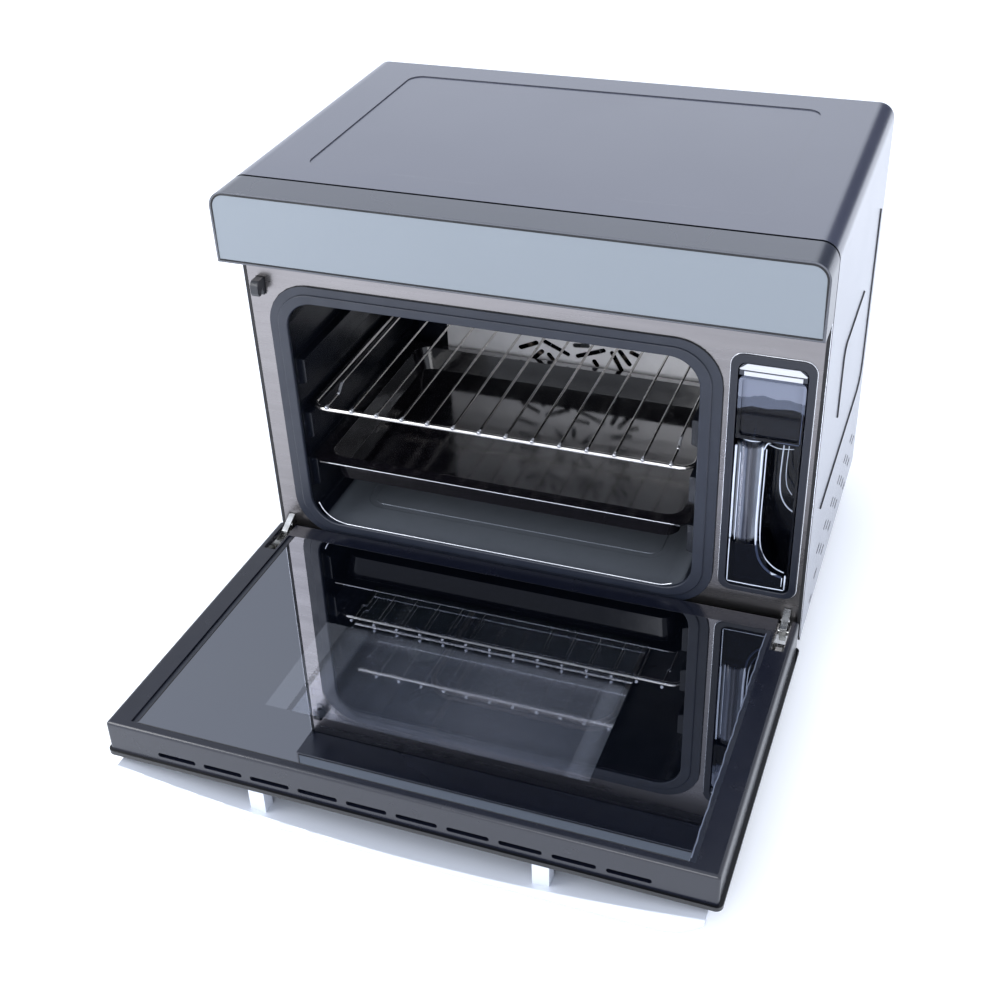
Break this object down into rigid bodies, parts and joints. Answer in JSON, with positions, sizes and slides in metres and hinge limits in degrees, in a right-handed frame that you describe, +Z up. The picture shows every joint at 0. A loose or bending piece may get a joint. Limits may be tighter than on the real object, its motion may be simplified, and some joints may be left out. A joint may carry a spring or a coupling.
{
  "type": "mini oven",
  "caption": "Countertop steam and baking oven with a drop-down glass door on hinges, wire rack, baking tray, hot-air fan and a pull-out water tank.",
  "frame": {"origin": "centre of the box's underside, on the table under the feet, with the door open", "axes": "+X to the user's right, +Y from the user towards the oven's back, +Z up"},
  "size_m": [0.524, 0.6679, 0.422],
  "materials": {
    "casing": "satin dark silver coating",
    "control_face": "satin grey-blue panel",
    "head_shell": "satin dark silver coating",
    "stainless": "brushed",
    "zinc_sheet": "galvanised",
    "cavity_steel": "dark glossy enamel",
    "baffle_steel": "satin",
    "gasket_rubber": "matt slate silicone",
    "rack_steel": "bright wire",
    "tray_enamel": "glossy black enamel",
    "heater_metal": "heat-tinted",
    "clear_glass": "clear",
    "tank_plastic": "smoky clear",
    "lid_plastic": "smoky black",
    "silver_trim": "satin",
    "black_plastic": "fine texture",
    "bay_plastic": "smooth dark",
    "door_frame_black": "fine matt black",
    "door_front_glass": "black mirror glass with metal edge",
    "door_inner_glass": "dark tinted",
    "handle_metal": "satin anodised",
    "hinge_steel": "bright zinc",
    "insulation_wool": "mineral wool",
    "circuit_board": "solder mask",
    "motor_iron": "lacquered",
    "boiler_alloy": "cast",
    "hose_silicone": "translucent white",
    "foot_rubber": "matt black",
    "screw_steel": "zinc",
    "seal_rubber": "silicone"
  },
  "bodies": {
    "cabinet": {"cabinet_wrap": "casing", "base_plate": "zinc_sheet", "feet": "foot_rubber", "foot_screws": "screw_steel", "rear_panel": "zinc_sheet", "rear_cover": "zinc_sheet", "rear_screws": "screw_steel", "cord_gland": "black_plastic", "front_panel": "stainless", "control_housing": "head_shell", "control_fascia": "control_face", "display_board": "circuit_board", "cavity_shell": "cavity_steel", "cavity_gasket": "gasket_rubber", "fan_baffle": "baffle_steel", "ring_heater": "heater_metal", "grill_heater": "heater_metal", "lamp_lens": "clear_glass", "lamp_housing": "zinc_sheet", "lamp_bulb": "clear_glass", "temperature_probe": "hinge_steel", "insulation": "insulation_wool", "motor_bracket": "zinc_sheet", "fan_motor": "motor_iron", "steam_generator": "boiler_alloy", "steam_pipe": "hinge_steel", "water_pump": "black_plastic", "water_hose": "hose_silicone", "tank_bay_liner": "bay_plastic", "tank_bezel": "bay_plastic", "tank_seat": "black_plastic", "power_board": "circuit_board", "blower_housing": "zinc_sheet", "blower_motor": "motor_iron", "door_switch_body": "black_plastic", "hinge_arms": "hinge_steel", "hinge_pins": "hinge_steel", "hinge_receivers": "zinc_sheet"},
    "door": {"door_frame": "door_frame_black", "door_outer_panel": "door_front_glass", "door_glass": "door_inner_glass", "glass_strips": "black_plastic", "handle_bar": "handle_metal", "handle_posts": "handle_metal", "handle_screws": "screw_steel", "hinge_channels": "hinge_steel", "hinge_springs": "hinge_steel"},
    "door_hinge_rods": {"hinge_rods": "hinge_steel"},
    "rack": {"wire_rack": "rack_steel"},
    "tray": {"baking_tray": "tray_enamel"},
    "water_tank": {"tank_body": "tank_plastic", "tank_seal": "seal_rubber"},
    "water_tank_lid": {"tank_lid": "lid_plastic", "tank_grip": "silver_trim"},
    "water_tank_valve": {"tank_valve": "black_plastic"},
    "door_switch": {"door_switch_lever": "black_plastic"},
    "hot_air_fan": {"fan_impeller": "zinc_sheet", "fan_shaft": "hinge_steel"},
    "cooling_blower": {"blower_wheel": "black_plastic"}
  },
  "joints": [
    {"name": "door_hinge", "type": "hinge", "parent": "cabinet", "child": "door", "pos_m": [0, -0.0201, 0.0497], "axis": [1, 0, 0], "range_deg": [-88.09, 0]},
    {"name": "hinge_rod_slide", "type": "slide", "parent": "door", "child": "door_hinge_rods", "axis": [0, -0.9994, 0.0333], "range_m": [0, 0.0051], "deforming": ["hinge_springs"]},
    {"name": "rack_slide", "type": "slide", "parent": "cabinet", "child": "rack", "axis": [0, -1, 0], "range_m": [0, 0.26]},
    {"name": "tray_slide", "type": "slide", "parent": "cabinet", "child": "tray", "axis": [0, -1, 0], "range_m": [0, 0.26]},
    {"name": "tank_slide", "type": "slide", "parent": "cabinet", "child": "water_tank", "axis": [0, -1, 0], "range_m": [0, 0.245]},
    {"name": "tank_lid_slide", "type": "slide", "parent": "water_tank", "child": "water_tank_lid", "axis": [0, -1, 0], "range_m": [0, 0.1]},
    {"name": "tank_valve_push", "type": "slide", "parent": "water_tank", "child": "water_tank_valve", "axis": [0, -1, 0], "range_m": [0, 0.003], "stiffness_N_per_m": 150},
    {"name": "door_switch_slide", "type": "slide", "parent": "cabinet", "child": "door_switch", "axis": [0, 1, 0], "range_m": [0, 0.0099]},
    {"name": "fan_spin", "type": "hinge", "parent": "cabinet", "child": "hot_air_fan", "pos_m": [-0.035, 0.262, 0.193], "axis": [0, 1, 0], "continuous": true},
    {"name": "blower_spin", "type": "hinge", "parent": "cabinet", "child": "cooling_blower", "pos_m": [0.06, 0.222, 0.34], "axis": [0, 0, 1], "continuous": true}
  ],
  "couplings": [
    {"joint": "door_switch_slide", "follows": "door_hinge", "m_per_rad": -0.0063742},
    {"joint": "hinge_rod_slide", "follows": "door_hinge", "m_per_rad": -0.0032521}
  ]
}
